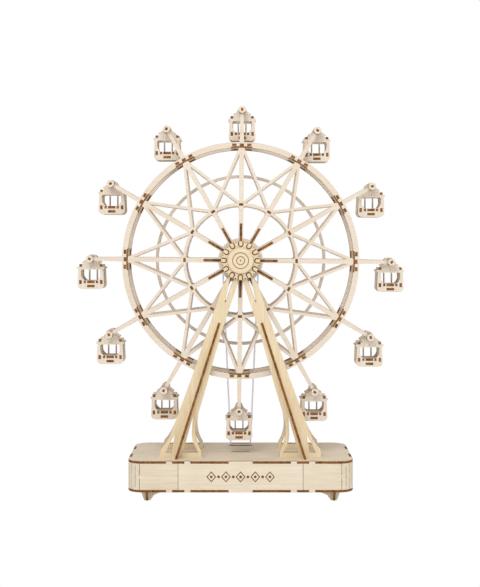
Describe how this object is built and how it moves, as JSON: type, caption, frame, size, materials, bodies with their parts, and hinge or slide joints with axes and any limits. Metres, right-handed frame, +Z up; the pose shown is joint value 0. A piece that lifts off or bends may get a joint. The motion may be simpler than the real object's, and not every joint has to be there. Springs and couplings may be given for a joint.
{
  "type": "ferris wheel toy",
  "caption": "Hand-cranked ferris wheel toy of laser-cut plywood: lattice wheel with hanging gondolas between A-frames on a box base.",
  "frame": {"origin": "centre of the toy's footprint on the table, at the bottom of the feet", "axes": "+Z up, front of the toy towards -Y, +X to the right as seen from the front"},
  "size_m": [0.2764, 0.1024, 0.3281],
  "materials": {
    "base_plywood": "matte",
    "frame_plywood": "matte",
    "wheel_plywood": "matte",
    "dowel_wood": "matte",
    "belt_elastic": "satin"
  },
  "bodies": {
    "stand": {"base_top_plate": "base_plywood", "base_bottom_plate": "base_plywood", "base_front_panel": "base_plywood", "base_rear_panel": "base_plywood", "base_left_band": "base_plywood", "base_right_band": "base_plywood", "front_feet": "base_plywood", "back_feet": "base_plywood", "front_a_frame": "frame_plywood", "back_a_frame": "frame_plywood", "front_ribs": "frame_plywood", "back_ribs": "frame_plywood", "front_shaft_bearing": "base_plywood", "rear_shaft_bearing": "base_plywood", "drive_belt": "belt_elastic"},
    "wheel": {"wheel_front_face": "wheel_plywood", "wheel_back_face": "wheel_plywood", "rim_cross_planks": "frame_plywood", "inner_cross_struts": "frame_plywood", "hub_fins": "frame_plywood", "wheel_axle": "dowel_wood", "hub_washers": "frame_plywood", "front_rosette": "frame_plywood", "hub_cap": "frame_plywood", "axle_spacer": "frame_plywood", "hub_pulley_flanges": "frame_plywood", "hub_pulley_core": "frame_plywood", "axle_collar": "frame_plywood"},
    "crank": {"crank_shaft": "dowel_wood", "shaft_collars": "frame_plywood", "drive_pulley_flanges": "frame_plywood", "drive_pulley_core": "frame_plywood", "crank_arm": "frame_plywood", "crank_pin": "dowel_wood"},
    "knob": {"crank_knob": "dowel_wood"},
    "pin_01": {"gondola_pin_01": "wheel_plywood"},
    "gondola_01": {"gondola_cabin_01": "wheel_plywood"},
    "pin_02": {"gondola_pin_02": "wheel_plywood"},
    "gondola_02": {"gondola_cabin_02": "wheel_plywood"},
    "pin_03": {"gondola_pin_03": "wheel_plywood"},
    "gondola_03": {"gondola_cabin_03": "wheel_plywood"},
    "pin_04": {"gondola_pin_04": "wheel_plywood"},
    "gondola_04": {"gondola_cabin_04": "wheel_plywood"},
    "pin_05": {"gondola_pin_05": "wheel_plywood"},
    "gondola_05": {"gondola_cabin_05": "wheel_plywood"},
    "pin_06": {"gondola_pin_06": "wheel_plywood"},
    "gondola_06": {"gondola_cabin_06": "wheel_plywood"},
    "pin_07": {"gondola_pin_07": "wheel_plywood"},
    "gondola_07": {"gondola_cabin_07": "wheel_plywood"},
    "pin_08": {"gondola_pin_08": "wheel_plywood"},
    "gondola_08": {"gondola_cabin_08": "wheel_plywood"},
    "pin_09": {"gondola_pin_09": "wheel_plywood"},
    "gondola_09": {"gondola_cabin_09": "wheel_plywood"},
    "pin_10": {"gondola_pin_10": "wheel_plywood"},
    "gondola_10": {"gondola_cabin_10": "wheel_plywood"},
    "pin_11": {"gondola_pin_11": "wheel_plywood"},
    "gondola_11": {"gondola_cabin_11": "wheel_plywood"},
    "pin_12": {"gondola_pin_12": "wheel_plywood"},
    "gondola_12": {"gondola_cabin_12": "wheel_plywood"}
  },
  "joints": [
    {"name": "wheel_spin", "type": "hinge", "parent": "stand", "child": "wheel", "pos_m": [0, -0.01515, 0.198], "axis": [0, 1, 0], "continuous": true},
    {"name": "crank_spin", "type": "hinge", "parent": "stand", "child": "crank", "pos_m": [0, 0.02975, 0.02125], "axis": [0, 1, 0], "continuous": true},
    {"name": "knob_spin", "type": "hinge", "parent": "crank", "child": "knob", "pos_m": [0, 0.04225, 0.00625], "axis": [0, 1, 0], "continuous": true},
    {"name": "pin_01_level", "type": "hinge", "parent": "wheel", "child": "pin_01", "pos_m": [0.00133, -0.01515, 0.32449], "axis": [0, 1, 0], "continuous": true},
    {"name": "gondola_01_swing", "type": "hinge", "parent": "pin_01", "child": "gondola_01", "pos_m": [0.00133, -0.01515, 0.32449], "axis": [0, 1, 0], "continuous": true},
    {"name": "pin_02_level", "type": "hinge", "parent": "wheel", "child": "pin_02", "pos_m": [0.06439, -0.01515, 0.30688], "axis": [0, 1, 0], "continuous": true},
    {"name": "gondola_02_swing", "type": "hinge", "parent": "pin_02", "child": "gondola_02", "pos_m": [0.06439, -0.01515, 0.30688], "axis": [0, 1, 0], "continuous": true},
    {"name": "pin_03_level", "type": "hinge", "parent": "wheel", "child": "pin_03", "pos_m": [0.11021, -0.01515, 0.2601], "axis": [0, 1, 0], "continuous": true},
    {"name": "gondola_03_swing", "type": "hinge", "parent": "pin_03", "child": "gondola_03", "pos_m": [0.11021, -0.01515, 0.2601], "axis": [0, 1, 0], "continuous": true},
    {"name": "pin_04_level", "type": "hinge", "parent": "wheel", "child": "pin_04", "pos_m": [0.12649, -0.01515, 0.19667], "axis": [0, 1, 0], "continuous": true},
    {"name": "gondola_04_swing", "type": "hinge", "parent": "pin_04", "child": "gondola_04", "pos_m": [0.12649, -0.01515, 0.19667], "axis": [0, 1, 0], "continuous": true},
    {"name": "pin_05_level", "type": "hinge", "parent": "wheel", "child": "pin_05", "pos_m": [0.10888, -0.01515, 0.13361], "axis": [0, 1, 0], "continuous": true},
    {"name": "gondola_05_swing", "type": "hinge", "parent": "pin_05", "child": "gondola_05", "pos_m": [0.10888, -0.01515, 0.13361], "axis": [0, 1, 0], "continuous": true},
    {"name": "pin_06_level", "type": "hinge", "parent": "wheel", "child": "pin_06", "pos_m": [0.0621, -0.01515, 0.08779], "axis": [0, 1, 0], "continuous": true},
    {"name": "gondola_06_swing", "type": "hinge", "parent": "pin_06", "child": "gondola_06", "pos_m": [0.0621, -0.01515, 0.08779], "axis": [0, 1, 0], "continuous": true},
    {"name": "pin_07_level", "type": "hinge", "parent": "wheel", "child": "pin_07", "pos_m": [-0.00133, -0.01515, 0.07151], "axis": [0, 1, 0], "continuous": true},
    {"name": "gondola_07_swing", "type": "hinge", "parent": "pin_07", "child": "gondola_07", "pos_m": [-0.00133, -0.01515, 0.07151], "axis": [0, 1, 0], "continuous": true},
    {"name": "pin_08_level", "type": "hinge", "parent": "wheel", "child": "pin_08", "pos_m": [-0.06439, -0.01515, 0.08912], "axis": [0, 1, 0], "continuous": true},
    {"name": "gondola_08_swing", "type": "hinge", "parent": "pin_08", "child": "gondola_08", "pos_m": [-0.06439, -0.01515, 0.08912], "axis": [0, 1, 0], "continuous": true},
    {"name": "pin_09_level", "type": "hinge", "parent": "wheel", "child": "pin_09", "pos_m": [-0.11021, -0.01515, 0.1359], "axis": [0, 1, 0], "continuous": true},
    {"name": "gondola_09_swing", "type": "hinge", "parent": "pin_09", "child": "gondola_09", "pos_m": [-0.11021, -0.01515, 0.1359], "axis": [0, 1, 0], "continuous": true},
    {"name": "pin_10_level", "type": "hinge", "parent": "wheel", "child": "pin_10", "pos_m": [-0.12649, -0.01515, 0.19933], "axis": [0, 1, 0], "continuous": true},
    {"name": "gondola_10_swing", "type": "hinge", "parent": "pin_10", "child": "gondola_10", "pos_m": [-0.12649, -0.01515, 0.19933], "axis": [0, 1, 0], "continuous": true},
    {"name": "pin_11_level", "type": "hinge", "parent": "wheel", "child": "pin_11", "pos_m": [-0.10888, -0.01515, 0.26239], "axis": [0, 1, 0], "continuous": true},
    {"name": "gondola_11_swing", "type": "hinge", "parent": "pin_11", "child": "gondola_11", "pos_m": [-0.10888, -0.01515, 0.26239], "axis": [0, 1, 0], "continuous": true},
    {"name": "pin_12_level", "type": "hinge", "parent": "wheel", "child": "pin_12", "pos_m": [-0.0621, -0.01515, 0.30821], "axis": [0, 1, 0], "continuous": true},
    {"name": "gondola_12_swing", "type": "hinge", "parent": "pin_12", "child": "gondola_12", "pos_m": [-0.0621, -0.01515, 0.30821], "axis": [0, 1, 0], "continuous": true}
  ],
  "couplings": [
    {"joint": "crank_spin", "follows": "wheel_spin", "ratio": 2},
    {"joint": "pin_01_level", "follows": "wheel_spin", "ratio": -1},
    {"joint": "pin_02_level", "follows": "wheel_spin", "ratio": -1},
    {"joint": "pin_03_level", "follows": "wheel_spin", "ratio": -1},
    {"joint": "pin_04_level", "follows": "wheel_spin", "ratio": -1},
    {"joint": "pin_05_level", "follows": "wheel_spin", "ratio": -1},
    {"joint": "pin_06_level", "follows": "wheel_spin", "ratio": -1},
    {"joint": "pin_07_level", "follows": "wheel_spin", "ratio": -1},
    {"joint": "pin_08_level", "follows": "wheel_spin", "ratio": -1},
    {"joint": "pin_09_level", "follows": "wheel_spin", "ratio": -1},
    {"joint": "pin_10_level", "follows": "wheel_spin", "ratio": -1},
    {"joint": "pin_11_level", "follows": "wheel_spin", "ratio": -1},
    {"joint": "pin_12_level", "follows": "wheel_spin", "ratio": -1}
  ]
}
